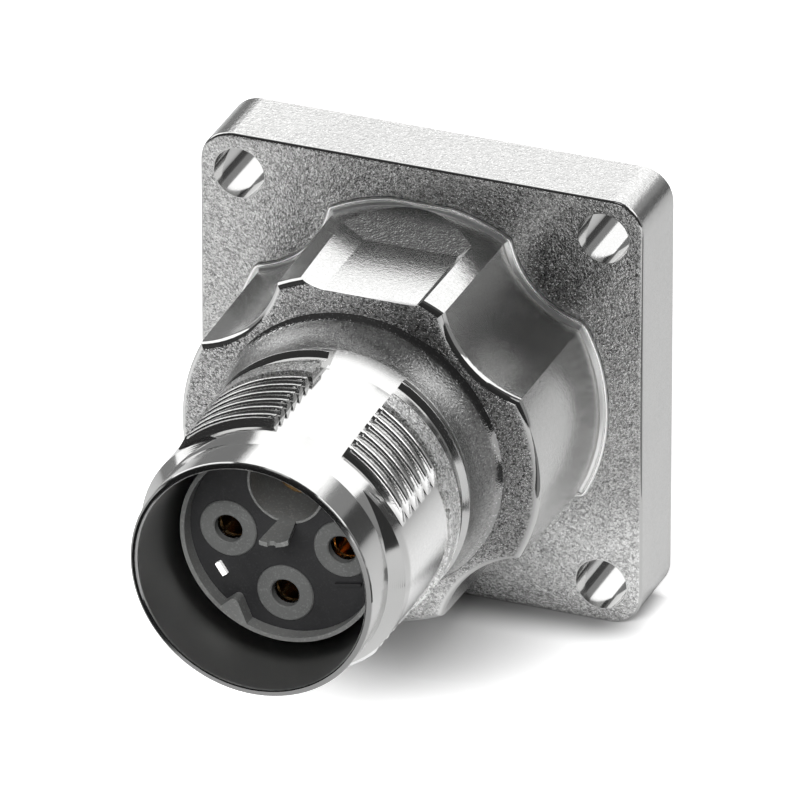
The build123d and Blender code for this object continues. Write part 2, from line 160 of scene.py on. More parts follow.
# %% Node helpers
class Recipe:
    """Makes and joins the nodes of one tree."""

    def __init__(self, tree):
        self.tree = tree

    def node(self, kind, **settings):
        made = self.tree.nodes.new(kind)
        for name, value in settings.items():
            setattr(made, name, value)
        return made

    def feed(self, socket, value):
        """Links another node's output, or sets a plain value."""
        if isinstance(value, bpy.types.NodeSocket):
            self.tree.links.new(value, socket)
        elif value is not None:
            socket.default_value = value

    def math(self, operation, *values):
        n = self.node("ShaderNodeMath", operation=operation)
        for socket, value in zip(n.inputs, values):
            self.feed(socket, value)
        return n.outputs[0]

    def chain(self, operation, first, *others):
        for other in others:
            first = self.math(operation, first, other)
        return first

    def times(self, *values):
        """A product: of masks, the part that they share."""
        return self.chain("MULTIPLY", *values)

    def total(self, *values):
        return self.chain("ADD", *values)

    def most(self, *values):
        """The largest value: of masks, all that they cover."""
        return self.chain("MAXIMUM", *values)

    def rest(self, mask):
        """All that a mask doesn't cover."""
        return self.math("SUBTRACT", 1.0, mask)

    def ramp(self, value, low, high, to_low=0.0, to_high=1.0):
        """A smooth step from low to high, or down where low is the larger number."""
        n = self.node("ShaderNodeMapRange", interpolation_type="SMOOTHSTEP")
        for socket, number in zip(n.inputs, (value, low, high, to_low, to_high)):
            self.feed(socket, number)
        return n.outputs[0]

    def band(self, value, rise, risen, falling, fallen):
        """A smooth step up from rise to risen, and down again from falling to fallen."""
        return self.times(self.ramp(value, rise, risen), self.ramp(value, fallen, falling))

    def across(self, a, b):
        """The length of the diagonal of a and b."""
        return self.math("SQRT", self.total(self.times(a, a), self.times(b, b)))

    def parts(self, vector):
        """The x, y and z of a vector."""
        n = self.node("ShaderNodeSeparateXYZ")
        self.feed(n.inputs[0], vector)
        return tuple(n.outputs)

    def in_mm(self, place):
        """The x, y and z of a place, in millimetres."""
        n = self.node("ShaderNodeVectorMath", operation="SCALE")
        self.feed(n.inputs[0], place)
        n.inputs["Scale"].default_value = 1 / MM
        return self.parts(n.outputs[0])

    def noise(self, vector, scale, detail=2.0, rough=0.5):
        n = self.node("ShaderNodeTexNoise")
        self.feed(n.inputs["Vector"], vector)
        self.feed(n.inputs["Scale"], scale)
        n.inputs["Detail"].default_value = detail
        n.inputs["Roughness"].default_value = rough
        return n.outputs["Fac"]

    def cells(self, vector, scale):
        """The distance to the middle of each cell, and its own random colour."""
        n = self.node("ShaderNodeTexVoronoi", feature="F1")
        self.feed(n.inputs["Vector"], vector)
        self.feed(n.inputs["Scale"], scale)
        return n.outputs["Distance"], n.outputs["Color"]

    def mix(self, factor, a, b):
        """Mixes two numbers or two colours."""
        is_colour = any(getattr(v, "type", "") == "RGBA" or isinstance(v, tuple) for v in (a, b))
        n = self.node("ShaderNodeMix", data_type="RGBA" if is_colour else "FLOAT")
        kind = "Color" if is_colour else "Float"
        found = {i.identifier: i for i in n.inputs}
        for name, value in zip(("Factor_Float", "A_" + kind, "B_" + kind), (factor, a, b)):
            self.feed(found[name], value)
        return next(o for o in n.outputs if o.identifier == "Result_" + kind)

    def dimmed(self, colour, value):
        """A colour times a value, kept below white."""
        grey = self.node("ShaderNodeCombineColor")
        for socket in grey.inputs[:3]:
            self.feed(socket, value)
        n = self.node("ShaderNodeMix", data_type="RGBA", blend_type="MULTIPLY", clamp_result=True)
        found = {i.identifier: i for i in n.inputs}
        for name, value in (("Factor_Float", 1.0), ("A_Color", colour), ("B_Color", grey.outputs[0])):
            self.feed(found[name], value)
        return next(o for o in n.outputs if o.identifier == "Result_Color")

    def group(self, tree, **values):
        n = self.node("ShaderNodeGroup", node_tree=tree)
        for name, value in values.items():
            self.feed(n.inputs[name.replace("_", " ")], value)
        return n.outputs


print("helpers:", ", ".join(name for name in vars(Recipe) if name[0] != "_"))

# %% [markdown]
# ## Effects that several materials share
#
# Grain, turning marks and handling clouds show on more than one material, each time with
# other values. They could be copied into every material, but then one change would have to
# be made many times. So each is a shader group with named inputs, built once.

# %% An empty shader group
VALUE, VECTOR = "NodeSocketFloat", "NodeSocketVector"


def new_group(name, inputs, outputs):
    """A shader group with a Vector input, number inputs {name: default} and number outputs."""
    tree = bpy.data.node_groups.new(name, "ShaderNodeTree")
    tree.interface.new_socket("Vector", in_out="INPUT", socket_type=VECTOR)
    for label, default in inputs.items():
        tree.interface.new_socket(label, in_out="INPUT", socket_type=VALUE).default_value = default
    for label in outputs:
        tree.interface.new_socket(label, in_out="OUTPUT", socket_type=VALUE)
    recipe = Recipe(tree)
    return recipe, recipe.node("NodeGroupInput").outputs, recipe.node("NodeGroupOutput").inputs


print("groups take a vector, then numbers")

# %% [markdown]
# ## Grain: the skin of a plated casting
#
# The die leaves a fine pebbled skin, and the bright plating turns each pebble into a tiny
# mirror, which is why the flange in the photograph sparkles: white and dark dots, each
# about a tenth of a millimetre wide. A photographed texture would repeat and blur when seen
# close. Here a cell pattern gives every pebble its own shade, and a noise of about the same
# size keeps the pebbles from looking cut out. About a quarter of the pebbles can be specks,
# small domes that bend the light; their lighter tone is a painted glint, and where specks are
# on, all pebbles are a little darker. The group puts out a height for the Bump node and a
# tone around 1 that the material multiplies its colour by.

# %% Shader group: surface grain
SPECKS_FROM, SPECKS_FULL = 0.70, 0.76
DOME_REACH, DOME_RISE, DOME_PAINTED_GLINT = 0.55, 0.6, 2.2
BETWEEN_SPECKS = 0.32
SOFT_SHARE, PATCH_SHARE = 1.2, 0.5

r, given, out = new_group(
    "surface grain", {"Size": 0.1, "Contrast": 0.5, "Specks": 0.0}, ("Height", "Tone"))
pebbles = r.math("DIVIDE", 1 / MM, given["Size"])
soft = r.math("SUBTRACT", r.noise(given["Vector"], r.times(pebbles, 0.8), rough=0.6), 0.5)
patch = r.math("SUBTRACT", r.noise(given["Vector"], r.times(pebbles, 0.3), detail=1.0), 0.5)
distance, colour = r.cells(given["Vector"], pebbles)
luck = r.node("ShaderNodeSeparateColor")
r.feed(luck.inputs[0], colour)
pebble = r.math("SUBTRACT", luck.outputs[0], 0.5)
chosen = r.times(r.ramp(luck.outputs[1], SPECKS_FROM, SPECKS_FULL), given["Specks"])
dome = r.times(r.ramp(distance, 0.0, DOME_REACH, 1.0, 0.0), chosen)
skin = r.total(soft, r.times(patch, PATCH_SHARE))
r.feed(out["Height"], r.total(skin, r.times(dome, DOME_RISE)))
swing = r.total(pebble, r.times(soft, SOFT_SHARE), r.times(patch, PATCH_SHARE))
level = r.rest(r.times(given["Specks"], BETWEEN_SPECKS))
# the domes' lighter tone is a painted glint; where specks are on, all pebbles are a little darker
r.feed(out["Tone"], r.total(level, r.times(swing, given["Contrast"]), r.times(dome, DOME_PAINTED_GLINT)))
grain_group = r.tree
print("group:", grain_group.name)

# %% [markdown]
# ## Turning marks: rings left by a cutting tool
#
# The barrel, the contacts and the rings are turned or polished round their axis, which
# leaves very fine rings. Modelled rings would be thousands of faces for something that only
# bends the light. A wave that depends only on the distance along y, roughened by a little
# noise so that it isn't perfect, gives those rings on every turned piece.

# %% Shader group: turning marks
DRIFT_PER_M = 900.0
DRIFT = 6.0

r, given, out = new_group("turning marks", {"Spacing": 0.12, "Wander": 0.4}, ("Height",))
waves = r.math("DIVIDE", 2 * pi / MM, given["Spacing"])
wander = r.times(r.noise(given["Vector"], DRIFT_PER_M), given["Wander"], DRIFT)
along = r.parts(given["Vector"])[1]
wave = r.math("SINE", r.total(r.times(along, waves), wander))
r.feed(out["Height"], r.times(wave, 0.5))
turned_group = r.tree
print("group:", turned_group.name)

# %% [markdown]
# ## Handling: soft cloudy differences
#
# No real surface has one roughness all over, and a single number there is what makes a
# render look like a render. This group makes slow clouds, a few millimetres wide, with a few
# fine rub marks on top: the same noise, squeezed to streaks and turned a little. Materials
# use it to vary roughness and, very slightly, colour.

# %% Shader group: handling clouds
r, given, out = new_group("handling clouds", {"Size": 4.0}, ("Cloud", "Rub"))
clouds_per_m = r.math("DIVIDE", 1 / MM, given["Size"])
r.feed(out["Cloud"], r.ramp(r.noise(given["Vector"], clouds_per_m), 0.35, 0.65))
streaks = r.node("ShaderNodeMapping")
r.feed(streaks.inputs["Vector"], given["Vector"])
streaks.inputs["Scale"].default_value = (1.0, 0.08, 1.0)
streaks.inputs["Rotation"].default_value = (0.3, 0.2, 0.6)
rub = r.noise(streaks.outputs[0], r.times(clouds_per_m, 14.0), detail=1.0)
r.feed(out["Rub"], r.ramp(rub, 0.62, 0.75))
handling_group = r.tree
print("group:", handling_group.name)

# %% [markdown]
# ## A material from a shader and a bump
#
# Each material starts with a Principled shader, object coordinates and a Bump node. What
# is the same all over a surface is set straight on the shader; what varies is linked. The
# patterns could follow a UV map, but object coordinates need no unwrapping and give every
# piece the same scale in millimetres.


# %% Start of every material
def start_material(name, metallic):
    material = bpy.data.materials.new(name)
    material.use_nodes = True
    material.node_tree.nodes.clear()
    r = Recipe(material.node_tree)
    shader = r.node("ShaderNodeBsdfPrincipled")
    shader.inputs["Metallic"].default_value = metallic
    shader.inputs["IOR"].default_value = 1.5
    surface = r.node("ShaderNodeOutputMaterial")
    r.feed(surface.inputs["Surface"], shader.outputs[0])
    place = r.node("ShaderNodeTexCoord").outputs["Object"]
    return material, r, shader, place


def add_bump(r, shader, height, depth_mm):
    """Lets a height, about 1 from its lowest to its highest, bend the light."""
    bump = r.node("ShaderNodeBump")
    bump.inputs["Strength"].default_value = 1.0
    bump.inputs["Distance"].default_value = depth_mm * MM
    r.feed(bump.inputs["Height"], height)
    r.feed(shader.inputs["Normal"], bump.outputs[0])


print("every material starts with", start_material.__name__, "and ends with", add_bump.__name__)

# %% [markdown]
# ## Nickel: cast, blasted and turned on one piece
#
# The housing is one casting with one plating, but not one surface. Faces that look along
# the barrel (flange front, front of the lobed base) are pebbled and glitter. The sides of
# the lobes and the hollows are smoother, the cove is dull, and the barrel is bright. The
# mesh could be cut up and given a material for each finish, but on a casting the finishes
# run into each other. So one material holds them all, and soft masks say where each one is:
# they come mostly from the station, the distance from the axis and the way the surface faces.

# %% Nickel: where a point lies and which way it faces
nickel, r, shader, place = start_material("nickel", metallic=1.0)
x, y, z = r.in_mm(place)
at_station = r.math("SUBTRACT", -FLANGE_T, y)
radius = r.across(x, z)
from_hole = r.across(*(r.math("SUBTRACT", r.math("ABSOLUTE", v), HOLE_PITCH / 2) for v in (x, z)))
facing = r.parts(r.node("ShaderNodeNewGeometry").outputs["True Normal"])
to_front, to_top = r.times(facing[1], -1.0), facing[2]
print("known at each point: station, radius, distance to the nearest screw hole, facing")

# %% [markdown]
# ### The zones
#
# Painting the masks by hand would tie them to one mesh, so they are worked out. Each zone
# gets a mask that is 1 inside and falls to 0 at its edges: within a tenth or two of a
# millimetre where the real edge is crisp, and over a millimetre or more where one finish
# fades into the next. Most numbers are offsets from the lengths at the top of the script.

# %% Nickel: zones of the flange and the lobed base
forward = r.ramp(to_front, 0.8, 0.95)
behind_barrel = r.ramp(at_station, BODY_LEN + 0.5, BODY_LEN + 0.1)
face_grain = r.times(forward, behind_barrel)
off_hole = r.ramp(from_hole, HOLE_R + 0.02, HOLE_R + 0.08)
pad_ramp = r.times(r.ramp(to_top, 0.8, 0.9), r.ramp(at_station, PAD_REAR + 0.2, PAD_REAR - 0.1))
top_face = r.times(r.ramp(to_top, 0.9, 0.97), r.ramp(at_station, 0.0, -0.05))
foot = r.times(
    r.band(at_station, 0.02, 0.05, FOOT_BEAD + 0.02, FOOT_BEAD + 0.15),
    r.ramp(radius, BODY_R + 0.9, BODY_R + 0.7))
at_base_front = r.times(r.ramp(at_station, BODY_LEN - 0.3, BODY_LEN - 0.1), behind_barrel)
base_edge = r.times(r.ramp(at_station, BODY_LEN - 0.9, BODY_LEN - 0.7), behind_barrel)
flange_edge = r.ramp(at_station, 0.02, 0.0)
round_edge = r.times(r.ramp(to_front, 0.08, 0.2), r.rest(forward), r.most(base_edge, flange_edge))
print("zones: grainy faces, rear slope of the pad, top face, foot line, base front, round edges")

# %% Nickel: zones of the barrel
lip = r.ramp(at_station, BARREL_LEN - 0.12, BARREL_LEN - 0.05)
inside = r.times(
    r.ramp(radius, BORE_R + 0.08, BORE_R + 0.02),
    r.ramp(at_station, BODY_LEN - 2.0, BODY_LEN - 1.0))
land = r.times(
    r.band(at_station, LAND_BACK - 0.22, LAND_BACK - 0.02, LAND_FRONT + 0.12, LAND_FRONT + 0.32),
    r.ramp(radius, CREST_R - 0.45, CREST_R - 0.25))
crests = r.times(
    r.band(at_station, THREAD_START + 0.4, THREAD_START + 0.8, THREAD_END - 0.1, THREAD_END + 0.3),
    r.ramp(radius, CREST_R - 0.4, CREST_R - 0.15))
cove = r.times(
    r.band(at_station, BODY_LEN - 0.3, BODY_LEN - 0.1, BODY_LEN + 2.4, BODY_LEN + 3.4),
    r.ramp(radius, COVE_RIM_R + 0.5, COVE_RIM_R + 0.1))
neck = r.band(at_station, BODY_LEN - 0.3, BODY_LEN - 0.1, BODY_LEN + 2.6, BODY_LEN + 4.2)
print("zones: lip, inside of the bore, land, crests, cove, neck")

# %% [markdown]
# ### How much grain each zone has
#
# Full grain on the faces that look forward and on the land, a share of it elsewhere, next
# to none on the rounded edges, where the polish takes it off, and none in the screw holes
# and on the foot line. One amount for the whole casting would be simpler, but the sides of
# the real one are clearly smoother than its front. The specks, with their painted glints, are
# strongest towards the top and the right and on the front of the base.

# %% Nickel: amount of grain
grainy = r.most(
    face_grain, land, r.times(cove, 0.55), r.times(top_face, 0.3),
    r.times(pad_ramp, 0.2), r.times(crests, 0.12))
amount = r.times(
    r.most(grainy, r.times(behind_barrel, 0.15)),
    off_hole, r.rest(r.times(round_edge, 0.9)), r.rest(foot))
# more specks, and so more painted glints, towards the top and the right and on the base front
more_specks = r.most(
    r.times(r.ramp(z, -10.0, 8.0, 0.2, 1.0), r.ramp(x, -14.0, -4.0, 0.3, 1.0)),
    r.times(at_base_front, r.ramp(z, -9.0, -4.0, 0.5, 1.3)))
grain = r.group(
    grain_group, Vector=place, Size=0.11, Contrast=r.times(amount, 0.7),
    Specks=r.times(grainy, more_specks, r.rest(foot)))
rings = r.group(turned_group, Vector=place, Spacing=0.11, Wander=0.5)
clouds = r.group(handling_group, Vector=place, Size=3.5)
print("nickel uses:", grain_group.name + ",", turned_group.name + ",", handling_group.name)

# %% [markdown]
# ### Painted light and shade on one plating
#
# Over the plain plating, each zone gets a painted shade that stands in for light and shade.
# The lip is painted darkest and the cove darker; the foot line and the crests and land on the
# right are painted lightest, as highlights; the flange is painted lighter downwards and to the
# left, the base front darker on its right, and the bore lighter towards the bottom. One grey
# and only the reflections would leave the faces that look forward too much alike, so each
# zone has its own painted shade, laid over the plain one.


# %% Nickel: colour
def plated(grey, blue):
    """The nickel's grey; its blue is a trace lower, which makes it a little warm."""
    return (grey, grey, blue, 1)


right_side = r.ramp(x, 0.0, 4.0)
# painted shade: the base front is darker on its right side, except low down
shaded = r.times(right_side, r.ramp(z, -9.0, -4.0))
base_front_painted_shade = r.mix(shaded, plated(0.76, 0.755), plated(0.38, 0.377))
# painted light: the bore is lighter towards the bottom
bore_painted_light = r.mix(r.ramp(z, -2.0, -6.0), plated(0.46, 0.455), plated(0.64, 0.635))
plain = r.mix(r.times(clouds["Cloud"], 0.15), plated(0.54, 0.535), plated(0.46, 0.455))
painted_shades = (
    # painted shade: the lip darkest, the cove darker
    (lip, plated(0.28, 0.278)),
    (cove, plated(0.42, 0.417)),
    # painted light: the forward faces lighter to the left and lighter towards the bottom
    (r.times(face_grain, r.ramp(x, -4.0, -9.0)), plated(0.6, 0.595)),
    (r.times(face_grain, r.ramp(z, -5.0, -9.0)), plated(0.78, 0.775)),
    # painted shade on the base front; a painted highlight on the crests and land on the right
    (at_base_front, base_front_painted_shade),
    (r.times(r.most(crests, land), right_side), plated(0.85, 0.845)),
    # painted light in the bore; a painted highlight on the foot line
    (inside, bore_painted_light),
    (foot, plated(0.95, 0.945)),
)
for zone, shade in painted_shades:
    plain = r.mix(zone, plain, shade)
r.feed(shader.inputs["Base Color"], r.dimmed(plain, grain["Tone"]))
print("shades laid over the plain plating:", len(painted_shades))

# %% [markdown]
# ### Gloss and relief
#
# The barrel is nearly a mirror and the grainy faces are satin. The bore is dull, because
# the plating is thin there. The relief could be real geometry, but it is a tenth of a
# millimetre wide, so a bump is enough: the grain on the base and the faint turning marks
# on the barrel are added up to one height.

# %% Nickel: roughness and bump
MIRROR, SATIN = 0.1, 0.34
satin = r.most(amount, foot, r.times(neck, 1.3), r.times(behind_barrel, off_hole, 0.35))
rough = r.total(r.mix(satin, MIRROR, SATIN), r.times(clouds["Rub"], 0.04))
for zone, dull in ((face_grain, 0.26), (round_edge, 0.06), (inside, 0.5)):
    rough = r.mix(zone, rough, dull)
r.feed(shader.inputs["Roughness"], rough)
ring_relief = r.times(rings["Height"], r.rest(behind_barrel), 0.01)
add_bump(r, shader, r.total(r.times(grain["Height"], amount), ring_relief), depth_mm=0.06)
print("material:", nickel.name, "with", len(nickel.node_tree.nodes), "nodes")

# %% [markdown]
# ## Moulded plastics and rubber
#
# The insert is a charcoal, glass-filled moulding with a fine spark-eroded texture. The
# touch rings are the same plastic in grey, the coding ring and the earth guard in a lighter
# grey, and the coding pin is white. They could be six separate materials, but they differ
# only in values, so one function makes them all.


# %% Materials: plastics and rubber
def moulded(name, colour, roughness, grain_size, depth_mm):
    material, r, shader, place = start_material(name, metallic=0.0)
    grain = r.group(grain_group, Vector=place, Size=grain_size, Contrast=1.0)
    clouds = r.group(handling_group, Vector=place, Size=2.5)
    lighter = tuple(min(1.0, c * 1.25 + 0.004) for c in colour) + (1,)
    brighter = tuple(min(1.0, c * 1.6) for c in colour) + (1,)
    tone = r.mix(r.times(clouds["Cloud"], 0.5), colour + (1,), lighter)
    r.feed(shader.inputs["Base Color"], r.mix(r.ramp(grain["Tone"], 1.2, 1.6), tone, brighter))
    r.feed(shader.inputs["Roughness"], r.mix(clouds["Cloud"], roughness, roughness + 0.08))
    shader.inputs["Specular IOR Level"].default_value = 0.3
    add_bump(r, shader, grain["Height"], depth_mm)
    return material


charcoal = moulded("charcoal plastic", (0.011, 0.011, 0.0115), 0.5, 0.09, 0.008)
rear_plastic = moulded("rear plastic", (0.015, 0.015, 0.016), 0.5, 0.12, 0.01)
grey_plastic = moulded("grey plastic", (0.056, 0.057, 0.056), 0.5, 0.09, 0.008)
light_grey = moulded("light grey plastic", (0.085, 0.086, 0.084), 0.5, 0.09, 0.01)
white_plastic = moulded("white plastic", (0.82, 0.82, 0.80), 0.35, 0.2, 0.004)
rubber = moulded("black rubber", (0.02, 0.02, 0.02), 0.65, 0.15, 0.02)
mouldings = (charcoal, rear_plastic, grey_plastic, light_grey, white_plastic, rubber)
print("moulded:", ", ".join(material.name for material in mouldings))

# %% [markdown]
# ## Gold and spring steel
#
# The contacts are turned brass with a thin gold plating; deep in their holes they glow
# orange because the light bounces from gold to gold. Two sockets get a painted shade in front,
# a duller colour that stands in for the shade in their holes; their wire ends are as bright as
# the others. A second material for the front would need the mesh cut, so a ramp along the axis
# mixes the two colours. The hoods and the snap ring are bright stamped steel.

# %% Materials: contact metals
FRONT_HALF_ENDS, FRONT_HALF_FULL = -12.0, -15.0


def turned_metal(name, colour, roughness, spacing, shade_colour_in_front=None):
    """A turned metal. A shade colour in front, if given, is a painted shade on the front half of the
    piece, which is also a little rougher there.
    """
    material, r, shader, place = start_material(name, metallic=1.0)
    rings = r.group(turned_group, Vector=place, Spacing=spacing, Wander=0.6)
    clouds = r.group(handling_group, Vector=place, Size=1.2)
    deeper = tuple(c * 0.82 for c in colour) + (1,)
    shade = r.mix(clouds["Cloud"], colour + (1,), deeper)
    rough = r.mix(clouds["Rub"], roughness, roughness + 0.12)
    if shade_colour_in_front:
        # painted shade: a duller colour on the front half
        front_half = r.ramp(r.in_mm(place)[1], FRONT_HALF_ENDS, FRONT_HALF_FULL)
        shade = r.mix(front_half, shade, shade_colour_in_front + (1,))
        rough = r.mix(front_half, rough, roughness + 0.07)
    r.feed(shader.inputs["Base Color"], shade)
    r.feed(shader.inputs["Roughness"], rough)
    add_bump(r, shader, rings["Height"], depth_mm=0.002)
    return material


GOLD = (0.98, 0.60, 0.26)
gold = turned_metal("gold plating", GOLD, 0.18, 0.1)
# contacts a and b: painted shade in front, for the shade inside their holes
front_shaded_gold = turned_metal("gold plating with painted shade", GOLD, 0.18, 0.1, shade_colour_in_front=(0.6, 0.44, 0.26))
spring_steel = turned_metal("spring steel", (0.62, 0.61, 0.59), 0.24, 0.2)
print("metals:", gold.name + ",", front_shaded_gold.name + ",", spring_steel.name)

# %% [markdown]
# ## Dressing the solids
#
# A packed solid keeps its mesh and its place; only its material slots change. Every node
# of the frame gets one, also those that are hidden inside, because the part can be opened.
# The names could be matched by a rule, but a plain list of who wears what is easier to read.

# %% Give each node its material
finish_of = {
    nickel: ["housing"],
    charcoal: ["insert_front"],
    rear_plastic: ["insert_rear"],
    grey_plastic: ["touch_ring_a", "touch_ring_b", "touch_ring_c"],
    light_grey: ["coding_ring", "earth_guard"],
    white_plastic: ["coding_pin"],
    gold: ["contact_c", "earth_contact", "earth_hood"],
    front_shaded_gold: ["contact_a", "contact_b"],
    spring_steel: ["contact_hood_a", "contact_hood_b", "contact_hood_c", "earth_spring", "retaining_ring"],
    rubber: ["panel_seal", "insert_seal"],
}
for material, names in finish_of.items():
    for name in names:
        mesh = nodes[name].data
        mesh.materials.clear()
        mesh.materials.append(material)
left = sorted(set(nodes) - {n for names in finish_of.values() for n in names})
print("nodes with no finish:", left)

# %% [markdown]
# ## Round beads on a cast part
#
# A cast and plated edge is never sharp: it carries a thin round bead of metal that shows as
# one bright line. Bevels on the solids would do it, but the packed meshes stay as they are.
# So the beads are thin rods of their own, laid along the edges. They repeat and follow
# curves, which makes them a job for Geometry Nodes. Two trees draw different paths and end
# the same way: a circle is swept along the path, shaded smooth and given the plating.

# %% What the two bead trees share
BEAD_SIDES = 12


def new_tree(name, inputs, on_mesh=False):
    """A geometry tree with named inputs {name: default} and a material."""
    tree = bpy.data.node_groups.new(name, "GeometryNodeTree")
    if on_mesh:
        tree.interface.new_socket("Geometry", in_out="INPUT", socket_type="NodeSocketGeometry")
    for label, default in inputs.items():
        kind = "NodeSocketInt" if isinstance(default, int) else "NodeSocketFloat"
        tree.interface.new_socket(label, in_out="INPUT", socket_type=kind).default_value = default
    tree.interface.new_socket("Material", in_out="INPUT", socket_type="NodeSocketMaterial")
    tree.interface.new_socket("Geometry", in_out="OUTPUT", socket_type="NodeSocketGeometry")
    recipe = Recipe(tree)
    return recipe, recipe.node("NodeGroupInput").outputs


def sweep_bead(g, given, path):
    """The end of both trees: a circle along a path, smooth, real and plated. Gives back the
    node that sweeps."""
    profile = g.node("GeometryNodeCurvePrimitiveCircle")
    profile.inputs["Resolution"].default_value = BEAD_SIDES
    g.feed(profile.inputs["Radius"], given["Bead radius"])
    swept = g.node("GeometryNodeCurveToMesh")
    g.feed(swept.inputs["Curve"], path)
    g.feed(swept.inputs["Profile Curve"], profile.outputs[0])
    smooth = g.node("GeometryNodeSetShadeSmooth")
    g.feed(smooth.inputs[0], swept.outputs[0])
    whole = g.node("GeometryNodeRealizeInstances")
    g.feed(whole.inputs[0], smooth.outputs[0])
    coated = g.node("GeometryNodeSetMaterial")
    g.feed(coated.inputs["Geometry"], whole.outputs[0])
    g.feed(coated.inputs["Material"], given["Material"])
    g.feed(g.node("NodeGroupOutput").inputs[0], coated.outputs[0])
    return swept


print("a tree starts with", new_tree.__name__, "and ends with", sweep_bead.__name__)

# %% [markdown]
# ## Rounded crests: beads that follow an arc
#
# The solid has six ridges in each sector of the thread, with narrow flat crests, and each
# one gets a bead along its top. The tree draws a line, copies it once for each ridge, bends
# every copy round the axis with the slight slope of the helix, lets it sink where the ridge
# runs out on the flat, and thins it at both ends.

# %% Geometry nodes: the paths of the arc beads
g, given = new_tree("arc beads", {
    "Start angle": 0.0, "End angle": 1.0, "Flat angle": 0.0, "Flat distance": ROOT_R * MM,
    "Crest radius": CREST_R * MM, "Bead radius": 0.1 * MM, "Spacing": PITCH * MM,
    "Front y": 0.0, "Middle y": 0.0, "Slope": 0.0, "Beads": 1, "Steps": 40,
})
bead_tree = g.tree
line = g.node("GeometryNodeCurvePrimitiveLine")
line.inputs["End"].default_value = (1, 0, 0)
fine_line = g.node("GeometryNodeResampleCurve")
g.feed(fine_line.inputs["Curve"], line.outputs[0])
g.feed(fine_line.inputs["Count"], given["Steps"])
copies = g.node("GeometryNodeDuplicateElements", domain="SPLINE")
g.feed(copies.inputs["Geometry"], fine_line.outputs[0])
g.feed(copies.inputs["Amount"], given["Beads"])

share = g.node("GeometryNodeSplineParameter").outputs["Factor"]
sweep = g.math("SUBTRACT", given["End angle"], given["Start angle"])
angle = g.total(given["Start angle"], g.times(sweep, share))
middle = g.times(g.total(given["End angle"], given["Start angle"]), 0.5)
print("tree:", bead_tree.name, "with", len(bead_tree.interface.items_tree) - 1, "inputs")

# %% Geometry nodes: bend each copy, and sweep it
FLAT_BLEND = 0.05 * MM
END_SHARE, END_SCALE = 0.03, 0.45
off_flat = g.math("COSINE", g.math("SUBTRACT", angle, given["Flat angle"]))
on_flat = g.math("DIVIDE", given["Flat distance"], off_flat)
centre_r = g.math("SUBTRACT", given["Crest radius"], given["Bead radius"])
path_r = g.math("SMOOTH_MIN", centre_r, on_flat, FLAT_BLEND)
local = g.math("SUBTRACT", angle, middle)
forward_y = g.times(copies.outputs["Duplicate Index"], given["Spacing"])
point = g.node("ShaderNodeCombineXYZ")
g.feed(point.inputs["X"], g.times(path_r, g.math("COSINE", local)))
g.feed(point.inputs["Y"], g.total(given["Front y"], forward_y))
g.feed(point.inputs["Z"], g.times(path_r, g.math("SINE", local)))
pivot = g.node("ShaderNodeCombineXYZ")
g.feed(pivot.inputs["Y"], given["Middle y"])
sloped = g.node("ShaderNodeVectorRotate", rotation_type="X_AXIS")
g.feed(sloped.inputs["Vector"], point.outputs[0])
g.feed(sloped.inputs["Center"], pivot.outputs[0])
g.feed(sloped.inputs["Angle"], given["Slope"])
turned = g.node("ShaderNodeVectorRotate", rotation_type="Y_AXIS")
g.feed(turned.inputs["Vector"], sloped.outputs[0])
g.feed(turned.inputs["Angle"], g.times(middle, -1.0))
bent = g.node("GeometryNodeSetPosition")
g.feed(bent.inputs["Geometry"], copies.outputs["Geometry"])
g.feed(bent.inputs["Position"], turned.outputs[0])
ends = g.math("MINIMUM", share, g.rest(share))
swept = sweep_bead(g, given, bent.outputs[0])
g.feed(swept.inputs["Scale"], g.ramp(ends, 0.0, END_SHARE, END_SCALE, 1.0))
swept.inputs["Fill Caps"].default_value = True
print("tree:", bead_tree.name, "with", len(bead_tree.nodes), "nodes")


# %% Run a tree, and join what it made
def grown(tree, mesh, values):
    """Runs a tree on a mesh with its own values; gives back a plain mesh."""
    seed = bpy.data.objects.new("seed", mesh)
    scene.collection.objects.link(seed)
    modifier = seed.modifiers.new("grow", "NODES")
    modifier.node_group = tree
    names = {i.name: i.identifier for i in tree.interface.items_tree if i.in_out == "INPUT"}
    for label, value in values.items():
        modifier[names[label]] = value
    bpy.context.view_layer.update()
    made = bpy.data.meshes.new_from_object(seed.evaluated_get(bpy.context.evaluated_depsgraph_get()))
    bpy.data.objects.remove(seed)
    return made


def joined(name, meshes):
    """Several plain meshes as one plated object at the origin."""
    together = bmesh.new()
    for mesh in meshes:
        together.from_mesh(mesh)
    bmesh.ops.recalc_face_normals(together, faces=together.faces)
    mesh = bpy.data.meshes.new(name)
    together.to_mesh(mesh)
    together.free()
    for face in mesh.polygons:
        face.use_smooth = True
    mesh.materials.append(nickel)
    made = bpy.data.objects.new(name, mesh)
    scene.collection.objects.link(made)
    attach(made, "root")
    print(name, "faces:", len(mesh.polygons))


